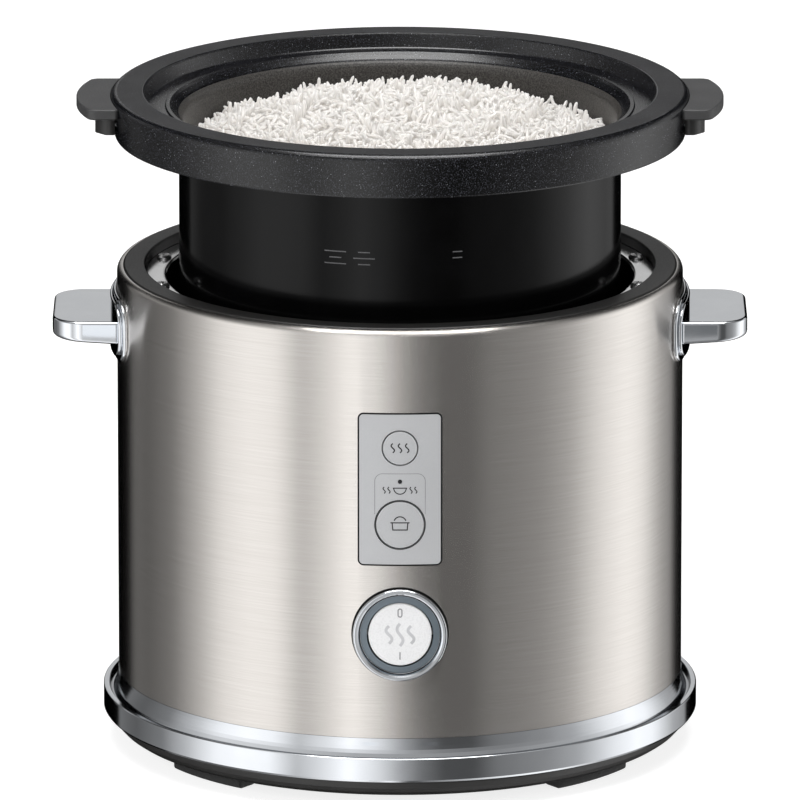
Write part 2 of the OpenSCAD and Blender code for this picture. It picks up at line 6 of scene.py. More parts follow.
import bmesh
import bpy
from mathutils import Matrix, Vector
from mathutils import noise as field
from mathutils.bvhtree import BVHTree


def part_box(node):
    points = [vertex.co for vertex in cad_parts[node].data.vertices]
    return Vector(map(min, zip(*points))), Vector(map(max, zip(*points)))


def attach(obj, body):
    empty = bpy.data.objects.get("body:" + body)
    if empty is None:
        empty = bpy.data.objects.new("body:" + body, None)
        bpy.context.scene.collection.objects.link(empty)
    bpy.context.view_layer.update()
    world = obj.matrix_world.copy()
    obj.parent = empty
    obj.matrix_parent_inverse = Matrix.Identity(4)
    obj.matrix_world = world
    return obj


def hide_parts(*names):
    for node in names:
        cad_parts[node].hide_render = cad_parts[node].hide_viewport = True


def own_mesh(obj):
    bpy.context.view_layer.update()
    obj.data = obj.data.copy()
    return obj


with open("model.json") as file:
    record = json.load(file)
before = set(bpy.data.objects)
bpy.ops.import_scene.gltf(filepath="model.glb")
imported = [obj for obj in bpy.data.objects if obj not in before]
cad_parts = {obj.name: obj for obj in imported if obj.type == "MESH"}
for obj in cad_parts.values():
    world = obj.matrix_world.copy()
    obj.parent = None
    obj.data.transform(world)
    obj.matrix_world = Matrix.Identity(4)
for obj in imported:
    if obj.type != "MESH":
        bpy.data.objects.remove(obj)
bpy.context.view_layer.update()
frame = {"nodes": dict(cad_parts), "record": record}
MM = 0.001

# ---------------------------------------------------------------- camera
CAMERA_DISTANCE = 6.0
CAMERA_ELEVATION = math.radians(14.3)
AIM = Vector((0, 0, 0.1465))
VIEW_WIDTH = 0.340  # width of the picture at the aim point
SENSOR_WIDTH = 36.0


def make_camera():
    """A long lens in front of the cooker, a little above it."""
    data = bpy.data.cameras.new("camera")
    data.sensor_width = SENSOR_WIDTH
    data.lens = SENSOR_WIDTH * CAMERA_DISTANCE / VIEW_WIDTH
    data.clip_end = 100
    camera = bpy.data.objects.new("camera", data)
    bpy.context.scene.collection.objects.link(camera)
    back = Vector((0, -math.cos(CAMERA_ELEVATION), math.sin(CAMERA_ELEVATION)))
    camera.location = AIM + CAMERA_DISTANCE * back
    camera.rotation_euler = (math.pi / 2 - CAMERA_ELEVATION, 0, 0)
    bpy.context.scene.camera = camera


make_camera()
bpy.context.scene.view_settings.view_transform = "Standard"


# ---------------------------------------------------------------- materials
class Nodes:
    """A node tree that starts out empty."""

    def __init__(self, tree):
        self.tree = tree
        self.tree.nodes.clear()

    def feed(self, node, name, value):
        """Sets an input, found by its name or number: a socket is linked and anything else is a constant."""
        socket = node.inputs[name]
        if isinstance(value, bpy.types.NodeSocket):
            self.tree.links.new(value, socket)
        elif socket.type == "RGBA":
            socket.default_value = (*value, 1.0)
        else:
            socket.default_value = value

    def node(self, kind, **inputs):
        made = self.tree.nodes.new(kind)
        for name, value in inputs.items():
            self.feed(made, name.replace("_", " "), value)
        return made

    def math(self, operation, a, b=0.0):
        made = self.node("ShaderNodeMath")
        made.operation = operation
        self.feed(made, 0, a)
        self.feed(made, 1, b)
        return made.outputs["Value"]

    def mix(self, factor, first, second):
        """A colour from first to second; inputs 6 and 7 and output 2 are the node's colour sockets."""
        made = self.node("ShaderNodeMix")
        made.data_type = "RGBA"
        for number, value in ((0, factor), (6, first), (7, second)):
            self.feed(made, number, value)
        return made.outputs[2]

    def between(self, factor, low, high, start=0.3, end=0.7):
        """factor from start to end becomes a number from low to high."""
        return self.node("ShaderNodeMapRange", Value=factor, From_Min=start, From_Max=end,
                         To_Min=low, To_Max=high).outputs["Result"]


class Surface(Nodes):
    """A Principled material whose colour, roughness and relief come from nodes in object space."""

    def __init__(self, name, **constants):
        self.material = bpy.data.materials.new(name)
        self.material.use_nodes = True
        super().__init__(self.material.node_tree)
        self.bsdf = self.node("ShaderNodeBsdfPrincipled", **constants)
        self.node("ShaderNodeOutputMaterial", Surface=self.bsdf.outputs["BSDF"])
        self.place = self.node("ShaderNodeTexCoord").outputs["Object"]

    def set(self, **inputs):
        for name, value in inputs.items():
            self.feed(self.bsdf, name.replace("_", " "), value)
        return self

    def scaled(self, stretch):
        """Object coordinates times stretch, a number for each axis: features per metre."""
        return self.node("ShaderNodeMapping", Vector=self.place, Scale=stretch).outputs["Vector"]

    def noise(self, stretch, detail=3.0, roughness=0.5):
        """Noise from 0 to 1; stretch may also be a single number."""
        if isinstance(stretch, (int, float)):
            stretch = (stretch,) * 3
        return self.node("ShaderNodeTexNoise", Vector=self.scaled(stretch), Scale=1.0,
                         Detail=detail, Roughness=roughness).outputs["Fac"]

    def blend(self, factor, first, second, start=0.3, end=0.7):
        """A colour from first to second as factor goes from start to end."""
        ramp = self.node("ShaderNodeValToRGB", Fac=factor)
        for stop, (position, colour) in zip(ramp.color_ramp.elements, ((start, first), (end, second))):
            stop.position = position
            stop.color = (*colour, 1.0)
        return ramp.outputs["Color"]

    def relief(self, height, depth, strength=1.0):
        """Bump from a 0 to 1 height that stands for depth metres."""
        return self.node("ShaderNodeBump", Height=height, Distance=depth, Strength=strength).outputs["Normal"]

    def radius(self):
        """Distance from the cooker's axis."""
        split = self.node("ShaderNodeSeparateXYZ", Vector=self.place)
        squares = [self.math("MULTIPLY", split.outputs[a], split.outputs[a]) for a in ("X", "Y")]
        return self.math("SQRT", self.math("ADD", *squares))

    def height(self):
        return self.node("ShaderNodeSeparateXYZ", Vector=self.place).outputs["Z"]


def shade(colour, factor):
    return tuple(c * factor for c in colour)


def brushed_shell():
    look = Surface("brushed_shell", Metallic=1.0, Anisotropic=0.95, Anisotropic_Rotation=0.25)
    around = look.node("ShaderNodeTangent")
    around.direction_type = "RADIAL"
    around.axis = "Z"
    streaks = look.noise((34, 34, 6400), detail=4, roughness=0.6)
    return look.set(
        Base_Color=look.blend(streaks, (0.700, 0.666, 0.630), (0.762, 0.730, 0.697), 0.36, 0.64),
        Roughness=look.between(streaks, 0.266, 0.271),
        Tangent=around.outputs["Tangent"])


def polished_chrome(name, colours, gloss):
    """Polished chrome, slightly wavy: the surface, and the colour of the faint film on it."""
    look = Surface(name, Metallic=1.0)
    film = look.noise(60, detail=4)
    ripple = look.relief(look.noise(220, detail=2), 0.006 * MM, 0.3)
    look.set(Roughness=look.between(film, *gloss), Normal=ripple)
    return look, look.blend(film, *colours)


def chrome_trim():
    look, film = polished_chrome("chrome_trim", ((0.80, 0.825, 0.86), (0.85, 0.875, 0.91)), (0.05, 0.09))
    return look.set(Base_Color=film)


# how far in from the base ring's edge the painted shade of its groove starts on each side, and where it is
# full
GROOVE_SHADE_INNER, GROOVE_SHADE_INNER_FULL = 4.7 * MM, 2.9 * MM
GROOVE_SHADE_OUTER, GROOVE_SHADE_OUTER_FULL = 2.4 * MM, 2.46 * MM


def chrome_ring():
    """The chrome of the base ring, with painted shade in the groove behind its lip."""
    look, film = polished_chrome("chrome_ring", ((0.73, 0.755, 0.79), (0.78, 0.805, 0.84)), (0.09, 0.13))
    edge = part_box("base_trim_ring")[1].x
    inward = look.between(look.radius(), 1.0, 0.0, edge - GROOVE_SHADE_INNER, edge - GROOVE_SHADE_INNER_FULL)
    outward = look.between(look.radius(), 0.0, 1.0, edge - GROOVE_SHADE_OUTER_FULL, edge - GROOVE_SHADE_OUTER)
    # painted shade: a dark grey takes the place of the chrome's film in the groove
    return look.set(Base_Color=look.mix(look.math("MAXIMUM", inward, outward), (0.15, 0.155, 0.165), film))


def spun_metal(name, colour, roughness, line_depth=0.006 * MM):
    """Metal turned on a lathe: fine rings round the axis."""
    look = Surface(name, Metallic=1.0)
    rings = look.node("ShaderNodeTexNoise", Scale=1.0, Detail=4.0)
    rings.noise_dimensions = "1D"
    look.feed(rings, "W", look.math("MULTIPLY", look.math("ADD", look.radius(), look.height()), 3800.0))
    cloud = look.noise(45, detail=4)
    return look.set(
        Base_Color=look.blend(cloud, shade(colour, 0.9), shade(colour, 1.04)),
        Roughness=look.between(rings.outputs["Fac"], roughness * 0.75, roughness * 1.3),
        Normal=look.relief(rings.outputs["Fac"], line_depth, 0.6))


def plastic(name, colour, roughness, grain=1400, grain_depth=0.02 * MM, spread=0.15, **constants):
    """Moulded plastic, rubber or paint: slight colour drift, a fine grain and uneven gloss."""
    look = Surface(name, **constants)
    cloud = look.noise(70, detail=4)
    fine = look.noise(grain, detail=2)
    return look.set(
        Base_Color=look.blend(cloud, shade(colour, 1 - spread), shade(colour, 1 + spread)),
        Roughness=look.between(fine, roughness * 0.88, roughness * 1.12),
        Normal=look.relief(fine, grain_depth, 0.6))


def cast_metal(name, colour, roughness, grain=500):
    look = Surface(name, Metallic=1.0)
    cloud = look.noise(90, detail=5)
    grains = look.noise(grain, detail=3)
    return look.set(
        Base_Color=look.blend(cloud, shade(colour, 0.8), shade(colour, 1.08)),
        Roughness=look.between(cloud, roughness * 0.8, roughness * 1.25),
        Normal=look.relief(grains, 0.03 * MM, 0.6))


SPECK_SHARE = 0.012  # share of the coating's cells that hold a light speck
SPECK_SIZE = 0.4  # its radius as a share of the cell


def pot_coating(name, smoothest, roughest):
    """Black non-stick coating with a fine glitter and sparse light specks."""
    look = Surface(name, Specular_IOR_Level=0.55)
    cells = look.node("ShaderNodeTexVoronoi", Vector=look.scaled((2400, 2400, 2400)), Scale=1.0)
    drawn = look.node("ShaderNodeSeparateColor", Color=cells.outputs["Color"]).outputs["Red"]
    chosen = look.math("GREATER_THAN", drawn, 1 - SPECK_SHARE)
    near = look.math("LESS_THAN", cells.outputs["Distance"], SPECK_SIZE)
    specks = look.math("MULTIPLY", chosen, near)
    glitter = look.noise(2300, detail=2)
    coat = look.blend(glitter, (0.0004, 0.0004, 0.0006), (0.050, 0.052, 0.064), 0.54, 0.74)
    return look.set(
        Base_Color=look.mix(specks, coat, (0.2, 0.205, 0.22)),
        Roughness=look.between(look.noise(40, detail=4), smoothest, roughest),
        Normal=look.relief(glitter, 0.05 * MM, 0.8))


def pot_inside():
    """The coating inside the pot: lighter and browner, with dense fine speckles."""
    look = Surface("pot_inside", Specular_IOR_Level=0.3)
    speckle = look.noise(1500, detail=3, roughness=0.7)
    return look.set(
        Base_Color=look.blend(speckle, (0.014, 0.013, 0.012), (0.085, 0.080, 0.074), 0.38, 0.72),
        Roughness=look.between(speckle, 0.42, 0.34),
        Normal=look.relief(speckle, 0.02 * MM, 0.5))


def shaded_pot_wall():
    """Smooth glossy black of the pot's outside below its rim, darker and less reflective than the rim's
    coating as painted shade under the rim.
    """
    look = Surface("shaded_pot_wall", Specular_IOR_Level=0.2)
    cloud = look.noise(55, detail=3)
    return look.set(
        Base_Color=look.blend(cloud, (0.0012, 0.0012, 0.0013), (0.0022, 0.0022, 0.0024)),
        Roughness=look.between(cloud, 0.12, 0.16))


def satin_silver():
    """Painted metal effect of the panel: even silver with a fine glitter."""
    look = Surface("panel_silver", Metallic=0.25)
    flakes = look.noise(4200, detail=1)
    cloud = look.noise(30, detail=2)
    return look.set(
        Base_Color=look.mix(0.5, look.blend(flakes, (0.40, 0.405, 0.415), (0.49, 0.495, 0.505)),
                            look.blend(cloud, (0.43, 0.435, 0.445), (0.46, 0.465, 0.475))),
        Roughness=look.between(flakes, 0.40, 0.52),
        Normal=look.relief(flakes, 0.01 * MM, 0.3))


def wound_tape():
    look = Surface("component_yellow")
    wave = look.node("ShaderNodeTexWave", Vector=look.place, Scale=500.0, Distortion=1.0).outputs["Fac"]
    return look.set(
        Base_Color=look.blend(wave, (0.50, 0.34, 0.07), (0.70, 0.52, 0.13), 0.2, 0.8),
        Roughness=look.between(wave, 0.35, 0.55),
        Normal=look.relief(wave, 0.05 * MM))


def solder_mask():
    look = Surface("board_green", Coat_Weight=0.3)
    tracks = look.node("ShaderNodeTexBrick", Vector=look.scaled((260, 260, 260)), Scale=1.0, Mortar_Size=0.03,
                       Color1=(0.035, 0.20, 0.09), Color2=(0.03, 0.17, 0.08), Mortar=(0.08, 0.32, 0.15))
    return look.set(Base_Color=tracks.outputs["Color"], Roughness=look.between(look.noise(300), 0.3, 0.45))


MATERIALS = {
    "brushed_shell": brushed_shell(),
    "chrome_trim": chrome_trim(),
    "well_metal": spun_metal("well_metal", (0.92, 0.92, 0.92), 0.16),
    "black_plastic": plastic("black_plastic", (0.018, 0.0175, 0.017), 0.42),
    "foot_rubber": plastic("foot_rubber", (0.016, 0.016, 0.016), 0.7, grain=900),
    "pot_coating": pot_coating("pot_coating", 0.21, 0.27),
    "panel_silver": satin_silver(),
    "switch_grey": plastic("switch_grey", (0.17, 0.205, 0.235), 0.32, spread=0.06, Metallic=0.4),
    "rocker_white": plastic("rocker_white", (0.67, 0.67, 0.675), 0.28, grain_depth=0.003 * MM, spread=0.02,
                            Coat_Weight=0.4),
    "cast_plate": spun_metal("cast_plate", (0.62, 0.62, 0.62), 0.34, 0.02 * MM),
    "element_tube": cast_metal("element_tube", (0.28, 0.26, 0.25), 0.5),
    "spacer_ceramic": plastic("spacer_ceramic", (0.84, 0.81, 0.74), 0.6, spread=0.05),
    "fastener_steel": cast_metal("fastener_steel", (0.62, 0.62, 0.61), 0.3, grain=900),
    "fuse_body": plastic("fuse_body", (0.74, 0.68, 0.45), 0.3, spread=0.08),
    "heater_mica": plastic("heater_mica", (0.52, 0.42, 0.25), 0.5, grain=300, spread=0.25),
    "board_green": solder_mask(),
    "component_black": plastic("component_black", (0.022, 0.022, 0.023), 0.5),
    "component_blue": plastic("component_blue", (0.03, 0.10, 0.36), 0.4, spread=0.08),
    "component_yellow": wound_tape(),
    "led_amber": plastic("led_amber", (0.85, 0.36, 0.05), 0.2, spread=0.05, Transmission_Weight=0.3),
    "pipe_clear": plastic("pipe_clear", (0.012, 0.012, 0.014), 0.12, spread=0.05),
    "contact_brass": cast_metal("contact_brass", (0.78, 0.58, 0.24), 0.25, grain=900),
    "terminal_cream": plastic("terminal_cream", (0.82, 0.78, 0.66), 0.35, spread=0.04),
    "wire_red": plastic("wire_red", (0.40, 0.02, 0.02), 0.45, spread=0.1),
}


def paint_nodes():
    """Every CAD node gets the look of its slot, but the base ring and the liner's screws have their own."""
    for part in frame["record"]["subparts"]:
        obj, slot_name = frame["nodes"][part["node"]], part["material_slot"]
        obj.data.materials.clear()
        obj.data.materials.append(MATERIALS[slot_name].material)
    frame["nodes"]["base_trim_ring"].data.materials[0] = chrome_ring().material
    screw_head = spun_metal("screw_head", (0.92, 0.92, 0.92), 0.36)
    frame["nodes"]["liner_screws"].data.materials[0] = screw_head.material


POT_WALL_RADIUS = 92.7 * MM
POT_CORNER = 14 * MM  # the wall's rounded corner and the fillet under the rim reach this far in and out
POT_FILLET = 8 * MM
UNDERSIDE_HEIGHT = 1.5 * MM  # bare metal: everything this low, and what faces down up to the dish's height
DISH_HEIGHT = 4.2 * MM
SKIRT_HEIGHT = 16 * MM
MOUTH_DEPTH = 9 * MM
POT_FLOOR_TOP = 12 * MM
RIM_DEPTH = 1 * MM
FACING_DOWN, FACING_UP, LEVEL = -0.6, 0.9, 0.995  # limits for the Z part of a face's normal


def finish_pot():
    """The pot has its coating, a smooth wall darkened as painted shade under the rim, bare metal underneath,
    a speckled inside and a flat rim.
    """
    pot = frame["nodes"]["inner_pot"]
    low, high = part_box("inner_pot")
    for finish in (shaded_pot_wall(), spun_metal("pot_underside", (0.74, 0.74, 0.73), 0.3), pot_inside(),
                   pot_coating("pot_rim_top", 0.42, 0.48)):
        pot.data.materials.append(finish.material)
    wall, underside, inside, rim_top = range(1, 5)
    for face in pot.data.polygons:
        centre, normal = face.center, face.normal
        outward = Vector((centre.x, centre.y, 0)).dot(normal) > 0
        by_wall = POT_WALL_RADIUS - POT_CORNER < centre.xy.length < POT_WALL_RADIUS + POT_FILLET
        if centre.z < low.z + UNDERSIDE_HEIGHT or (centre.z < low.z + DISH_HEIGHT and normal.z < FACING_DOWN):
            face.material_index = underside
        # the wall under the rim takes the darker finish: real black coating plus painted shade
        elif centre.z < high.z - SKIRT_HEIGHT and outward and by_wall:
            face.material_index = wall
        elif not outward and centre.z < high.z - MOUTH_DEPTH:
            face.material_index = inside
        elif normal.z > FACING_UP and centre.z < low.z + POT_FLOOR_TOP:
            face.material_index = inside
        elif normal.z > LEVEL and centre.z > high.z - RIM_DEPTH:
            face.material_index = rim_top


FOOT_ROUNDING = 1.8 * MM


def round_feet():
    """The moulded rubber feet have round edges; the bevel needs their faces joined first."""
    for name, node in frame["nodes"].items():
        if name.startswith("foot_"):
            node.modifiers.new("joined", "WELD").merge_threshold = 0.001 * MM
            rounding = node.modifiers.new("rounding", "BEVEL")
            rounding.width = FOOT_ROUNDING
            rounding.segments = 3
            rounding.limit_method = "ANGLE"
            rounding.angle_limit = math.radians(40)
            rounding.harden_normals = True


paint_nodes()
finish_pot()
round_feet()


# ---------------------------------------------------------------- mesh helpers
def make_object(name, mesh):
    obj = bpy.data.objects.new(name, mesh)
    bpy.context.scene.collection.objects.link(obj)
    return obj


def finish_mesh(name, bm, smooth=True):
    bmesh.ops.recalc_face_normals(bm, faces=bm.faces)
    mesh = bpy.data.meshes.new(name)
    bm.to_mesh(mesh)
    bm.free()
    mesh.polygons.foreach_set("use_smooth", [smooth] * len(mesh.polygons))
    return make_object(name, mesh)


def join(bm, first, second):
    """A closed band of faces between two rows of vertices."""
    count = len(first)
    for k in range(count):
        j = (k + 1) % count
        bm.faces.new((first[k], first[j], second[j], second[k]))


def disc(name, radii, sides, height):
    """A round sheet about the cooker's axis, with a ring of points for each radius, at height(x, y)."""
    bm = bmesh.new()
    centre = bm.verts.new((0, 0, height(0, 0)))
    rows = []
    for r in radii:
        places = [(r * math.cos(a), r * math.sin(a)) for a in (2 * math.pi * k / sides for k in range(sides))]
        rows.append([bm.verts.new((x, y, height(x, y))) for x, y in places])
    for k in range(sides):
        j = (k + 1) % sides
        bm.faces.new((centre, rows[0][k], rows[0][j]))
        for inner, outer in zip(rows, rows[1:]):
            bm.faces.new((inner[k], outer[k], outer[j], inner[j]))
    return finish_mesh(name, bm)


def stand_in(obj, material, body, node):
    """obj is shown in a CAD node's place, and rides on its body."""
    obj.data.materials.append(material)
    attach(obj, body)
    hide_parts(node)


def surface_tree(node):
    mesh = frame["nodes"][node].data
    return BVHTree.FromPolygons([v.co for v in mesh.vertices], [p.vertices for p in mesh.polygons])


class Cylinder:
    """Stands in for a surface tree where printing crosses a gap in a face that is part of a cylinder."""

    def __init__(self, radius):
        self.radius = radius

    def ray_cast(self, start, _direction):
        point = Vector((start.x, -math.sqrt(self.radius ** 2 - start.x ** 2), start.z))
        return point, Vector((point.x, point.y, 0)).normalized(), 0, 0


PRINT_LIFT = 0.03 * MM  # how far printing stands off the surface under it
PRINT_SINK = 0.06 * MM


def ribbon(bm, tree, points, width, closed=False):
    """A flat printed line on the front of a node: points are (x, z), dropped on the surface along +Y."""
    count = len(points)
    sections = []
    for i, (x, z) in enumerate(points):
        if closed:
            before, after = points[i - 1], points[(i + 1) % count]
        else:
            before, after = points[max(i - 1, 0)], points[min(i + 1, count - 1)]
        along = Vector((after[0] - before[0], after[1] - before[1])).normalized()
        side = Vector((-along.y, along.x)) * width / 2
        section = []
        for sign, lift in ((1, PRINT_LIFT), (-1, PRINT_LIFT), (-1, -PRINT_SINK), (1, -PRINT_SINK)):
            at = Vector((x + sign * side.x, -1, z + sign * side.y))
            hit, normal, _, _ = tree.ray_cast(at, Vector((0, 1, 0)))
            if normal.y > 0:
                normal = -normal
            section.append(bm.verts.new(hit + normal * lift))
        sections.append(section)
    pairs = list(zip(sections, sections[1:]))
    if closed:
        pairs.append((sections[-1], sections[0]))
    else:
        bm.faces.new(sections[0])
        bm.faces.new(sections[-1])
    for first, second in pairs:
        join(bm, first, second)


def printed(name, surface, body, lines, width, colour):
    """Printing on a node or on a Cylinder: lines is a list of (points, closed)."""
    bm = bmesh.new()
    tree = surface if isinstance(surface, Cylinder) else surface_tree(surface)
    for points, closed in lines:
        ribbon(bm, tree, points, width, closed)
    obj = finish_mesh(name, bm, smooth=False)
    obj.data.materials.append(INKS[colour])
    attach(obj, body)


def arc_points(centre, radius, start=0.0, end=360.0, steps=48):
    """Points on a flat arc, from start to end in degrees; a full turn leaves out its last point."""
    full = abs(end - start) >= 360
    turns = steps if full else steps + 1
    points = []
    for i in range(turns):
        a = math.radians(start + (end - start) * i / steps)
        points.append((centre[0] + radius * math.cos(a), centre[1] + radius * math.sin(a)))
    return points


def wave_points(centre, height, swing, steps=20):
    """One rising steam line, an S of the given height."""
    points = []
    for i in range(steps + 1):
        t = i / steps
        points.append((centre[0] + swing * math.sin(2 * math.pi * t), centre[1] + height * (t - 0.5)))
    return points


def line_points(start, end, steps=8):
    """Points on a straight line, close enough to follow the surface it is printed on."""
    return [(start[0] + (end[0] - start[0]) * i / steps, start[1] + (end[1] - start[1]) * i / steps)
            for i in range(steps + 1)]


def stadium(centre, width, height):
    """Outline of an upright capsule."""
    r = width / 2
    rise = height / 2 - r
    return (arc_points((centre[0], centre[1] + rise), r, 0, 180, 12)
            + arc_points((centre[0], centre[1] - rise), r, 180, 360, 12))


LONGEST_STEP = 3 * MM  # longest straight piece of a rounded rectangle, so that it follows a round surface


def rounded_rectangle(centre, width, height, corner):
    """Outline of an upright rectangle with round corners."""
    points = []
    for turn, (sx, sz) in enumerate(((1, 1), (-1, 1), (-1, -1), (1, -1))):
        at = (centre[0] + sx * (width / 2 - corner), centre[1] + sz * (height / 2 - corner))
        points += arc_points(at, corner, 90 * turn, 90 * turn + 90, 8)
    dense = []
    for (ax, az), (bx, bz) in zip(points, points[1:] + points[:1]):
        steps = max(1, round(math.hypot(bx - ax, bz - az) / LONGEST_STEP))
        dense += [(ax + (bx - ax) * i / steps, az + (bz - az) * i / steps) for i in range(steps)]
    return dense


INKS = {name: plastic("ink_" + name, (value, value, value * 1.03), 0.6, Specular_IOR_Level=0.1).material
        for name, value in (("black", 0.006), ("dark", 0.03), ("mid", 0.12), ("pale", 0.26),
                            ("faint", 0.25), ("soft", 0.45))}


def middle(node):
    """The middle of a CAD node's box."""
    low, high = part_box(node)
    return (low + high) / 2


# ---------------------------------------------------------------- printing on the panel and the switch, and painted shade in their gaps
ICON_ARC = 2.6 * MM  # radius of the pot's lid and of the bowl
ICON_BRIM = 0.9 * MM  # how far the pot's and the bowl's brims are over the middle of their icons
ICON_BASE = 2.2 * MM
ARCH_HALF = 0.31  # half the outline round the buttons, as a share of the panel's width


def panel_printing():
    """Plain icons of steam, a pot and a warm bowl, and a pale outline round the buttons."""
    reheat, cook = middle("reheat_button"), middle("cook_button")
    steam = [(wave_points((reheat.x + dx, reheat.z), 4.0 * MM, 0.7 * MM), False)
             for dx in (-3.0 * MM, 0.0, 3.0 * MM)]
    printed("reheat_icon", "reheat_button", "reheat_button", steam, 0.55 * MM, "dark")

    x, brim, base = cook.x, cook.z + ICON_BRIM, cook.z - ICON_BASE
    pot = [
        (line_points((x - 4 * MM, brim), (x + 4 * MM, brim)), False),
        (line_points((x - 3.3 * MM, brim), (x - 3.0 * MM, base)), False),
        (line_points((x - 3.2 * MM, base), (x + 3.2 * MM, base)), False),
        (line_points((x + 3.0 * MM, base), (x + 3.3 * MM, brim)), False),
        (arc_points((x, brim), ICON_ARC, 20, 160, 16), False),
    ]
    printed("cook_icon", "cook_button", "cook_button", pot, 0.5 * MM, "dark")

    cook_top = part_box("cook_button")[1].z
    keep_z = (middle("light_pipe").z + cook_top) / 2
    brim = keep_z + ICON_BRIM
    warm = [(arc_points((0, brim), ICON_ARC, 180, 360, 20), False),
            (line_points((-3.0 * MM, brim), (3.0 * MM, brim)), False)]
    for side in (-1, 1):
        for step in (4.6 * MM, 6.6 * MM):
            warm.append((wave_points((side * step, keep_z), 2.8 * MM, 0.45 * MM), False))
    printed("keep_warm_icon", "panel_plate", "cooker", warm, 0.45 * MM, "dark")

    panel_low, panel_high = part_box("panel_plate")
    half = (panel_high.x - panel_low.x) * ARCH_HALF
    top = middle("light_pipe").z + 3.4 * MM
    corner = 3.2 * MM
    foot_z = cook.z + 4.5 * MM
    arch = line_points((-half, foot_z), (-half, top - corner))
    arch += arc_points((-half + corner, top - corner), corner, 180, 90, 10)
    arch += line_points((-half + corner, top), (half - corner, top))
    arch += arc_points((half - corner, top - corner), corner, 90, 0, 10)
    arch += line_points((half, top - corner), (half, foot_z))
    printed("arch_outline", "panel_plate", "cooker", [(arch, False)], 0.32 * MM, "pale")


BUTTON_FLANGE = 1.4 * MM  # hidden rim of a button, past its visible face
BUTTON_GAP = 0.45 * MM


def button_gap_shades():
    """Painted shade round each button: a dark line from the gap outwards."""
    for name, width, ink in (("reheat_button", 0.16 * MM, "mid"), ("cook_button", 0.42 * MM, "dark")):
        low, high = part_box(name)
        at = middle(name)
        radius = (high.z - low.z) / 2 - BUTTON_FLANGE + BUTTON_GAP + width / 2
        printed(name + "_ring", Cylinder(-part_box("panel_plate")[0].y), "cooker",
                [(arc_points((at.x, at.z), radius, steps=72), True)], width, ink)


ROCKER_REACH = 13.2 * MM  # from the rocker's middle to its upper and lower end
ONE_HALF = 1.6 * MM  # half the height of the I


def rocker_printing():
    """The 0 and I of the switch, and three steam waves between them."""
    at = middle("power_rocker")
    top, bottom = at.z + 0.70 * ROCKER_REACH, at.z - 0.68 * ROCKER_REACH
    zero = [(stadium((at.x, top), 1.6 * MM, 3.4 * MM), True)]
    one = [(line_points((at.x, bottom - ONE_HALF), (at.x, bottom + ONE_HALF)), False)]
    printed("switch_marks", "power_rocker", "power_rocker", zero + one, 0.55 * MM, "faint")
    steam = [(wave_points((at.x + dx, at.z), size * MM, 1.25 * MM), False)
             for dx, size in ((-4.6 * MM, 7.5), (0.0, 9.5), (4.6 * MM, 7.5))]
    printed("switch_emblem", "power_rocker", "power_rocker", steam, 1.25 * MM, "soft")


def gap_shade_lines():
    """Painted shade: thin black lines for the shadow in the gaps where the panel and the switch meet the
    steel, and on the switch's bezel.
    """
    shell = Cylinder(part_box("outer_shell")[1].x)
    low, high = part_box("panel_plate")
    at = middle("panel_plate")
    line = 0.7 * MM
    outline = rounded_rectangle((at.x, at.z), high.x - low.x + line, high.z - low.z + line, 2.2 * MM)
    printed("panel_gap_shade", shell, "cooker", [(outline, True)], line, "black")
    low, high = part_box("switch_bezel")
    at = middle("switch_bezel")
    bezel_r = (high.x - low.x) / 2
    ring = arc_points((at.x, at.z), bezel_r + 0.26 * MM, steps=96)
    printed("bezel_gap_shade", shell, "cooker", [(ring, True)], 0.62 * MM, "black")
    for name, inset, width in (("bezel_edge_shade", 0.3 * MM, 0.36 * MM), ("bezel_groove_shade", 2.8 * MM, 0.36 * MM)):
        ring = arc_points((at.x, at.z), bezel_r - inset, steps=96)
        printed(name, "switch_bezel", "cooker", [(ring, True)], width, "black")


panel_printing()
button_gap_shades()
rocker_printing()
gap_shade_lines()


# ---------------------------------------------------------------- painted highlights of the level ticks on the pot's wall
# (x, lengths of the ticks in mm)
LEVEL_GROUPS = ((-27 * MM, (9, 5, 9)), (-15 * MM, (5, 9, 5)), (24 * MM, (4, 4)))
LEVEL_DROP = 48.5 * MM  # from the rim to the highest ticks
LEVEL_STEP = 2.6 * MM


def level_tick_highlights():
    """Grey lines painted as the highlights of short embossed level ticks low on the outside of the pot, in
    three groups.
    """
    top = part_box("inner_pot")[1].z - LEVEL_DROP
    lines = []
    for x, lengths in LEVEL_GROUPS:
        for i, length in enumerate(lengths):
            z, half = top - i * LEVEL_STEP, length * MM / 2
            lines.append((line_points((x - half, z), (x + half, z)), False))
    printed("level_tick_highlights", "inner_pot", "inner_pot", lines, 0.5 * MM, "mid")


level_tick_highlights()


# ---------------------------------------------------------------- handles and grips
def rounded_slab(bm, side, outline, heights):
    """A slab with rounded edges. outline(inset) gives its (x, y) points on the right side of the cooker;
    heights is a list of (inset, z as a function of x)."""
    rows = [[bm.verts.new((side * x, y, z_at(x))) for x, y in outline(inset)] for inset, z_at in heights]
    for lower, upper in zip(rows, rows[1:]):
        join(bm, lower, upper)
    bm.faces.new(rows[0])
    bm.faces.new(rows[-1])


def on_cylinder(radius, y_from, y_to, steps=24):
    """Points of the inner end of a slab, from y_from to y_to along a cylinder."""
    points = []
    for i in range(steps + 1):
        y = y_from + (y_to - y_from) * i / steps
        points.append((math.sqrt(radius ** 2 - y ** 2), y))
    return points


FLAT_MARGIN = 1.5 * MM  # a slab's sides stay flat up to here from its inner end


def inner_end(radius, half, inset):
    """The end of a slab's outline that lies on a cylinder, with the last point of each flat side."""
    flat_end = math.sqrt(radius ** 2 - half ** 2) + FLAT_MARGIN
    y = half - inset
    return [(flat_end, y)] + on_cylinder(radius, y, -y) + [(flat_end, -y)]


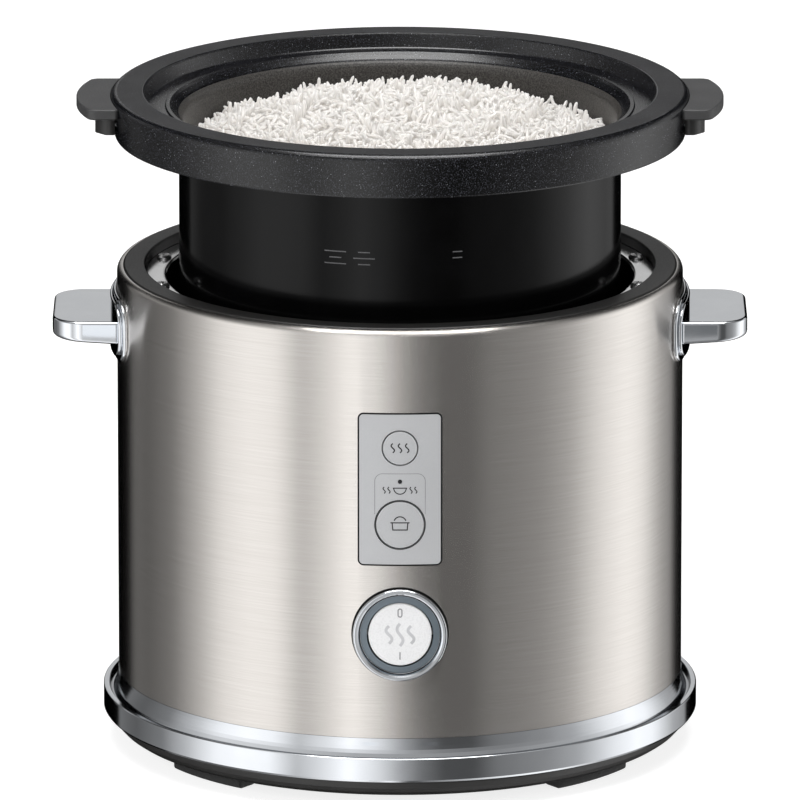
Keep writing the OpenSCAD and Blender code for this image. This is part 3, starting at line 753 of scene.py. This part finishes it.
def fillet(z_low, z_high, low_r, high_r, steps=5):
    """Insets and heights up the side of a slab, with a rounded edge at the bottom and at the top."""
    rows = []
    for i in range(steps + 1):
        a = math.radians(90 * i / steps)
        rows.append((low_r * (1 - math.sin(a)), lambda x, d=low_r * (1 - math.cos(a)): z_low(x) + d))
    for i in range(steps + 1):
        a = math.radians(90 * i / steps)
        rows.append((high_r * (1 - math.cos(a)), lambda x, d=high_r * (1 - math.sin(a)): z_high(x) - d))
    return rows


def curved_plate(bm, side, centre_z, width, height, corner, r_in, r_out, edge):
    """A rounded plate that lies on the shell's side, with a rounded outer edge."""
    steps = 4
    shape = [(0.0, r_in)]
    for i in range(steps + 1):
        a = math.radians(90 * i / steps)
        shape.append((edge * (1 - math.cos(a)), r_out - edge * (1 - math.sin(a))))
    rows = []
    for inset, radius in shape:
        outline = rounded_rectangle((0, centre_z), width - 2 * inset, height - 2 * inset, corner - inset)
        rows.append([bm.verts.new((side * math.sqrt(radius ** 2 - y ** 2), y, z)) for y, z in outline])
    for inner, outer in zip(rows, rows[1:]):
        join(bm, inner, outer)
    inner_rings(bm, side, rows[-1], centre_z, r_out)
    inner_rings(bm, side, rows[0], centre_z, r_in)


def inner_rings(bm, side, border, centre_z, radius):
    """Closes a curved plate's face with rings that shrink towards its middle line."""
    last = border
    for share in (0.75, 0.5, 0.25, 0.0):
        ring = []
        for v in border:
            y = v.co.y * (0.4 + 0.6 * share)
            z = centre_z + (v.co.z - centre_z) * share
            ring.append(bm.verts.new((side * math.sqrt(radius ** 2 - y ** 2), y, z)))
        join(bm, last, ring)
        last = ring
    bmesh.ops.remove_doubles(bm, verts=last, dist=0.02 * MM)


def weighted(obj):
    """Keeps flat faces flat next to rounded edges."""
    modifier = obj.modifiers.new("weighted_normal", "WEIGHTED_NORMAL")
    modifier.weight = 100
    modifier.keep_sharp = True
    return obj


def make_handle(name, side):
    """A flat chrome handle, a little thinner towards its tip, with a collar on the handle plate."""
    low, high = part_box(name)
    plate_low, plate_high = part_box(name.replace("handle", "handle_plate"))
    z_mid = (low.z + high.z) / 2
    slab_half = 5 * MM
    tip = max(abs(low.x), abs(high.x))
    half = 30 * MM
    corner = 13 * MM
    plate_face = max(abs(plate_low.x), abs(plate_high.x)) + 0.1 * MM
    inner_r = plate_face + 0.6 * MM
    slope = math.tan(math.radians(4))

    def outline(inset):
        return (arc_points((tip - corner, corner - half), corner - inset, -90, 0, 12)
                + arc_points((tip - corner, half - corner), corner - inset, 0, 90, 12)
                + inner_end(inner_r, half, inset))

    def underside(x):
        return z_mid - slab_half + slope * max(0.0, x - plate_face)

    bm = bmesh.new()
    rounded_slab(bm, side, outline, fillet(underside, lambda x: z_mid + slab_half, 2.0 * MM, 1.3 * MM))
    curved_plate(bm, side, z_mid, high.y - low.y, high.z - low.z, 10 * MM,
                 plate_face, plate_face + 1.3 * MM, 0.6 * MM)
    obj = weighted(finish_mesh(name + "_body", bm))
    stand_in(obj, MATERIALS["chrome_trim"].material, "cooker", name)


def make_handle_plate(name, side):
    """The oval plate between a handle and the shell."""
    low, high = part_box(name)
    outer = max(abs(low.x), abs(high.x))
    bm = bmesh.new()
    curved_plate(bm, side, (low.z + high.z) / 2, high.y - low.y, high.z - low.z, 11 * MM,
                 outer - 1.5 * MM, outer, 0.7 * MM)
    obj = weighted(finish_mesh(name + "_body", bm))
    stand_in(obj, MATERIALS["chrome_trim"].material, "cooker", name)


GRIP_PLASTIC = plastic("grip_plastic", (0.044, 0.044, 0.045), 0.5)


def make_grip(name, side):
    """A flat finger plate with a curved end, over a bracket against the pot's skirt."""
    low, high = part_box(name)
    rim_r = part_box("inner_pot")[1].x
    reach = max(abs(low.x), abs(high.x))
    half, corner, thick = 30 * MM, 4.5 * MM, 4.6 * MM
    end_x = 60 * MM  # centre of the curved end
    end_r = reach - end_x
    end_angle = math.degrees(math.asin((half - corner) / (end_r - corner)))
    corner_x = end_x + (end_r - corner) * math.cos(math.radians(end_angle))
    inner_r = rim_r + 0.1 * MM

    def outline(inset):
        return (arc_points((corner_x, corner - half), corner - inset, -90, -end_angle, 8)
                + arc_points((end_x, 0), end_r - inset, -end_angle, end_angle, 24)[1:-1]
                + arc_points((corner_x, half - corner), corner - inset, end_angle, 90, 8)
                + inner_end(inner_r, half, inset))

    def bracket(inset):
        wide, deep, reach_x = 24 * MM - inset, 19 * MM - inset, 128.5 * MM - inset
        bend_x = 124 * MM
        return ([(bend_x, -wide), (reach_x, -deep), (reach_x, deep), (bend_x, wide)]
                + on_cylinder(inner_r, wide, -wide))

    top = high.z
    bottom = top - thick
    bm = bmesh.new()
    rounded_slab(bm, side, outline, fillet(lambda x: bottom, lambda x: top, 0.7 * MM, 0.7 * MM, 4))
    rounded_slab(bm, side, bracket,
                 fillet(lambda x: low.z, lambda x: bottom + 0.4 * MM, 0.8 * MM, 0.1 * MM, 3))
    obj = weighted(finish_mesh(name + "_body", bm))
    stand_in(obj, GRIP_PLASTIC.material, "inner_pot", name)
    obj.data.materials.append(MATERIALS["black_plastic"].material)
    for face in obj.data.polygons:
        face.material_index = int(face.center.z < bottom + 0.8 * MM)


for word, way in (("left", -1), ("right", 1)):
    make_handle("handle_" + word, way)
    make_handle_plate("handle_plate_" + word, way)
    make_grip("pot_grip_" + word, way)


def make_spring():
    """The spring under the sensor: a copy of its CAD shape, shown in the CAD node's place on the cooker."""
    node = frame["nodes"]["sensor_spring"]
    coil = make_object("sensor_coil", node.data.copy())
    coil.matrix_world = node.matrix_world.copy()
    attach(coil, "cooker")
    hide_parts("sensor_spring")
    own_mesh(coil)


make_spring()


# ---------------------------------------------------------------- rice in the pot, as a prop
RICE_SEED = 11
GRAIN_LENGTH = 7.6 * MM
GRAIN_WIDTH = 1.8 * MM
GRAINS = 3600
HEAP_RADIUS = 90 * MM
HEAP_CROWN = 15.5 * MM
HEAP_BACK = 4 * MM  # how far the heap's top is behind the pot's axis
LUMP_HEIGHT = 4 * MM
HEAP_EDGE = 24 * MM  # how far the heap's edge is under the pot's rim
BED_DEPTH = 0.7 * MM  # how far the bed is under the middle of the grains
BED_RINGS, BED_SIDES = 40, 96
STANDING_EACH = 11  # one grain in so many stands up from the heap
STANDING_LEAN = (1.2, 0.25)  # mean and spread, in radians
STANDING_RISE = 1.6 * MM


def heap_height(x, y, rim):
    """Height of the top of the rice over the point (x, y)."""
    r = min(math.hypot(x, y - HEAP_BACK) / HEAP_RADIUS, 1.0)
    crown = HEAP_CROWN * (1 - r ** 2.2)
    lumps = field.fractal(Vector((x * 45, y * 45, 0.3)), 1.0, 2.0, 3) * LUMP_HEIGHT
    return rim - HEAP_EDGE + crown + lumps


# a grain's outline: (share of its length, share of its width)
GRAIN_SHAPE = ((0.03, 0.5), (0.12, 0.86), (0.3, 1.0), (0.6, 0.98), (0.86, 0.8), (0.96, 0.46))
GRAIN_SIDES = 6
GRAIN_FLATNESS = 0.85  # height of a grain as a share of its width


def grain_mesh(bm, matrix, length, width, bend):
    """One long grain, a little bent."""
    def droop(t):
        return bend * (1 - (2 * t - 1) ** 2)

    turns = [2 * math.pi * k / GRAIN_SIDES for k in range(GRAIN_SIDES)]
    sections = []
    for t, share in GRAIN_SHAPE:
        r = width / 2 * share
        points = [((t - 0.5) * length, r * math.cos(a), droop(t) + GRAIN_FLATNESS * r * math.sin(a))
                  for a in turns]
        sections.append([bm.verts.new(matrix @ Vector(point)) for point in points])
    ends = [bm.verts.new(matrix @ Vector(((t - 0.5) * length, 0, droop(t)))) for t in (0, 1)]
    for k in range(GRAIN_SIDES):
        j = (k + 1) % GRAIN_SIDES
        bm.faces.new((ends[0], sections[0][j], sections[0][k]))
        bm.faces.new((ends[1], sections[-1][k], sections[-1][j]))
    for first, second in zip(sections, sections[1:]):
        join(bm, first, second)


def rice_material():
    """Translucent white grains that scatter the light between them, with a faint painted glow that lifts
    their shade.
    """
    # the emission is a painted glow: it lifts the shade between the grains
    look = Surface("rice", Subsurface_Weight=0.9, Subsurface_Scale=0.007, Subsurface_Radius=(1.0, 0.97, 0.93),
                   Specular_IOR_Level=0.3, Emission_Color=(1.0, 0.965, 0.925), Emission_Strength=0.13)
    tone = look.noise(420, detail=3)
    return look.set(
        Base_Color=look.blend(tone, (0.55, 0.525, 0.497), (0.63, 0.606, 0.578)),
        Roughness=look.between(look.noise(900), 0.3, 0.5),
        Normal=look.relief(look.noise(1800), 0.05 * MM, 0.5))


def rice_grains(rim):
    """Grains in a sunflower pattern over the heap, each turned and tilted by chance."""
    rng = random.Random(RICE_SEED)
    golden_angle = math.pi * (3 - math.sqrt(5))
    bm = bmesh.new()
    for i in range(GRAINS):
        r = HEAP_RADIUS * math.sqrt((i + 0.5) / GRAINS)
        a = i * golden_angle
        x = r * math.cos(a) + rng.uniform(-1, 1) * MM
        y = r * math.sin(a) + rng.uniform(-1, 1) * MM
        if math.hypot(x, y) > HEAP_RADIUS:
            continue
        z = heap_height(x, y, rim) + rng.uniform(-0.9, 1.2) * MM
        # grains lie flatter in some patches than in others
        tilt = 0.4 + 1.1 * abs(field.noise(Vector((x * 60, y * 60, 5.0))))
        lean = rng.gauss(0, tilt)
        if i % STANDING_EACH == 0:
            lean = rng.gauss(*STANDING_LEAN)
            z += STANDING_RISE
        turn = (Matrix.Rotation(rng.uniform(0, 2 * math.pi), 4, "Z")
                @ Matrix.Rotation(lean, 4, "Y")
                @ Matrix.Rotation(rng.uniform(0, 2 * math.pi), 4, "X"))
        grain_mesh(bm, Matrix.Translation((x, y, z)) @ turn, GRAIN_LENGTH * rng.uniform(0.8, 1.15),
                   GRAIN_WIDTH * rng.uniform(0.85, 1.15), rng.uniform(-0.5, 0.5) * MM)
    return finish_mesh("rice_grains", bm)


def make_rice():
    """Cooked rice: loose grains over a bed that closes the gaps between them."""
    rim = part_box("inner_pot")[1].z
    grains = rice_grains(rim)
    radii = [HEAP_RADIUS * (i + 1) / BED_RINGS for i in range(BED_RINGS)]
    bed = disc("rice_bed", radii, BED_SIDES, lambda x, y: heap_height(x, y, rim) - BED_DEPTH)
    white = rice_material().material
    for obj in (grains, bed):
        obj.data.materials.append(white)
        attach(obj, "inner_pot")


make_rice()


# ---------------------------------------------------------------- floor, surroundings and lights
FLOOR_RINGS = (0.5, 2.0, 8.0, 40.0)
FLOOR_SIDES = 64


def make_floor():
    """A wide pale floor that isn't seen in mirrored light."""
    floor = disc("floor", FLOOR_RINGS, FLOOR_SIDES, lambda x, y: 0)
    look = Surface("floor", Specular_IOR_Level=0.0, Roughness=1.0, Emission_Strength=0.8)
    grey = look.blend(look.noise(3), (0.42, 0.42, 0.42), (0.44, 0.44, 0.44))
    look.set(Base_Color=grey, Emission_Color=(1, 1, 1))
    floor.data.materials.append(look.material)
    floor.visible_glossy = False


# brightness of the studio as upright faces mirror it: (degrees from the front, towards +X; brightness)
LOW_STUDIO = (
    (-180, 0.5), (-143, 0.25), (-138, 0.17), (-125, 0.12), (-106, 0.23), (-90, 0.64), (-77, 1.15),
    (-64, 1.30), (-52, 1.22), (-41, 0.62), (-29, 0.98), (-20, 1.36), (-8, 0.88), (1, 0.42), (8, 0.2),
    (17, 0.085), (29, 0.085), (38, 0.2), (60, 0.31), (74, 0.48), (90, 0.98), (105, 1.30), (116, 1.2),
    (125, 0.8), (134, 0.46), (143, 0.36), (148, 0.34), (180, 0.5))
# the same well above the horizon, and how that changes with the sine of the elevation
HIGH_STUDIO = (
    (-180, 0.62), (-130, 0.5), (-90, 0.5), (-30, 0.6), (10, 0.45), (40, 0.3), (100, 0.5), (180, 0.62))
ELEVATION = ((0.0, 0.7), (0.18, 0.9), (0.36, 1.15), (0.5, 0.55), (0.72, 0.4), (0.86, 1.2), (0.95, 2.2))
# a pair below says where something starts and where it is full: in degrees from the front, or as the sine of
# an elevation
HIGH_RISE = (0.12, 0.42)  # the low studio gives way to the high one
BACK_SHIFT = 3  # how far what stands behind the cooker is turned to the left, in degrees
FLAG_SIDE = (143, 146.5)  # black flags behind the cooker on both sides
FLAG_GAP = (174, 168)  # above the horizon they leave the middle of the back open
FLAG_HORIZON = (0.12, 0.02)  # below this they close that gap
FLAG_TOP = (0.75, 0.6)
ROOF_SIDE = (95, 115)  # a dark ceiling over the back
ROOF_HEIGHT = (0.36, 0.5)
ROOF_SHADE = 0.8
SEEN_GREY = (0.94, 0.94, 0.94)  # what the camera sees behind the floor


def make_world():
    """The studio that mirrored and diffuse light find; the camera sees a plain grey instead."""
    world = bpy.data.worlds.new("studio")
    bpy.context.scene.world = world
    world.use_nodes = True
    studio = Nodes(world.node_tree)

    def ramp(factor, stops):
        made = studio.node("ShaderNodeValToRGB", Fac=factor)
        elements = made.color_ramp.elements
        while len(elements) < len(stops):
            elements.new(0.5)
        for element, (position, value) in zip(elements, stops):
            element.position = position
            element.color = (value, value, value, 1)
        return made.outputs["Color"]

    def round_about(stops):
        return ramp(turn, [(degrees / 360 + 0.5, value) for degrees, value in stops])

    def step(value, places):
        return studio.between(value, 0.0, 1.0, *places)

    direction = studio.node("ShaderNodeTexCoord").outputs["Generated"]
    split = studio.node("ShaderNodeSeparateXYZ", Vector=direction)
    up = split.outputs["Z"]
    angle = studio.math("ARCTAN2", split.outputs["X"], studio.math("MULTIPLY", split.outputs["Y"], -1.0))
    turn = studio.math("ADD", studio.math("DIVIDE", angle, 2 * math.pi), 0.5)
    degrees = studio.math("MULTIPLY", angle, 180 / math.pi)
    away = studio.math("ABSOLUTE", studio.math("SUBTRACT", degrees, BACK_SHIFT))

    high = studio.math("MULTIPLY", round_about(HIGH_STUDIO), ramp(up, ELEVATION))
    sky = studio.mix(step(up, HIGH_RISE), round_about(LOW_STUDIO), high)
    sides = studio.math("MULTIPLY", step(away, FLAG_GAP), step(up, FLAG_TOP))
    cover = studio.math("MAXIMUM", step(up, FLAG_HORIZON), sides)
    flags = studio.math("MULTIPLY", step(away, FLAG_SIDE), cover)
    back = studio.math("MULTIPLY", step(away, ROOF_SIDE), step(up, ROOF_HEIGHT))
    roof = studio.math("MULTIPLY", back, ROOF_SHADE)
    past_flags, past_roof = (studio.math("SUBTRACT", 1.0, shadow) for shadow in (flags, roof))
    strength = studio.math("MULTIPLY", past_flags, past_roof)
    around = studio.node("ShaderNodeBackground", Color=sky, Strength=strength)
    seen = studio.node("ShaderNodeBackground", Color=SEEN_GREY)
    to_camera = studio.node("ShaderNodeLightPath").outputs["Is Camera Ray"]
    choice = studio.node("ShaderNodeMixShader", Fac=to_camera)
    studio.feed(choice, 1, around.outputs[0])
    studio.feed(choice, 2, seen.outputs[0])
    studio.node("ShaderNodeOutputWorld", Surface=choice.outputs[0])


def soft_light(name, place, target, size, power, glossy=False, diffuse=True):
    """A rectangular lamp at place that points at target: size in metres, power in watts."""
    data = bpy.data.lights.new(name, "AREA")
    data.shape = "RECTANGLE"
    data.size, data.size_y = size
    data.energy = power
    light = bpy.data.objects.new(name, data)
    bpy.context.scene.collection.objects.link(light)
    light.location = place
    light.rotation_euler = (Vector(target) - Vector(place)).to_track_quat("-Z", "Y").to_euler()
    light.visible_glossy = glossy
    light.visible_diffuse = diffuse
    light.visible_camera = False


CARD_AT = -0.7  # y of the cards


def card(name, x_from, x_to, z_from, z_to, brightness):
    """A small upright board in front of the cooker, seen only in mirrored light."""
    corners = ((x_from, z_from), (x_to, z_from), (x_to, z_to), (x_from, z_to))
    bm = bmesh.new()
    bm.faces.new([bm.verts.new((x, CARD_AT, z)) for x, z in corners])
    board = finish_mesh(name, bm, smooth=False)
    look = Surface(name, Roughness=1.0, Specular_IOR_Level=0.0, Base_Color=(0, 0, 0))
    white = look.blend(look.noise(9), (0.94, 0.97, 1.0), (1.0, 1.0, 1.0))
    look.set(Emission_Strength=brightness, Emission_Color=white)
    board.data.materials.append(look.material)
    board.visible_camera = board.visible_diffuse = board.visible_shadow = False


make_floor()
make_world()
card("left_card", -0.17, -0.098, 0.0, 0.07, 1.05)
card("right_card", 0.098, 0.17, 0.0, 0.07, 0.17)
soft_light("top_box", (0, 0, 2.4), (0, 0.001, 0), (1.6, 0.9), 24, glossy=True)
soft_light("front_strip", (0, -0.8, 2.3), (0, 0, 0.3), (1.8, 0.7), 24)
soft_light("edge_strip", (0, -0.6, 2.3), (0, 0, 0.3), (1.9, 0.9), 24, glossy=True, diffuse=False)
soft_light("left_box", (-1.9, -1.6, 1.2), (0, 0, 0.15), (1.2, 1.6), 22)
soft_light("right_box", (2.0, -1.2, 1.0), (0, 0, 0.15), (1.0, 1.6), 12)
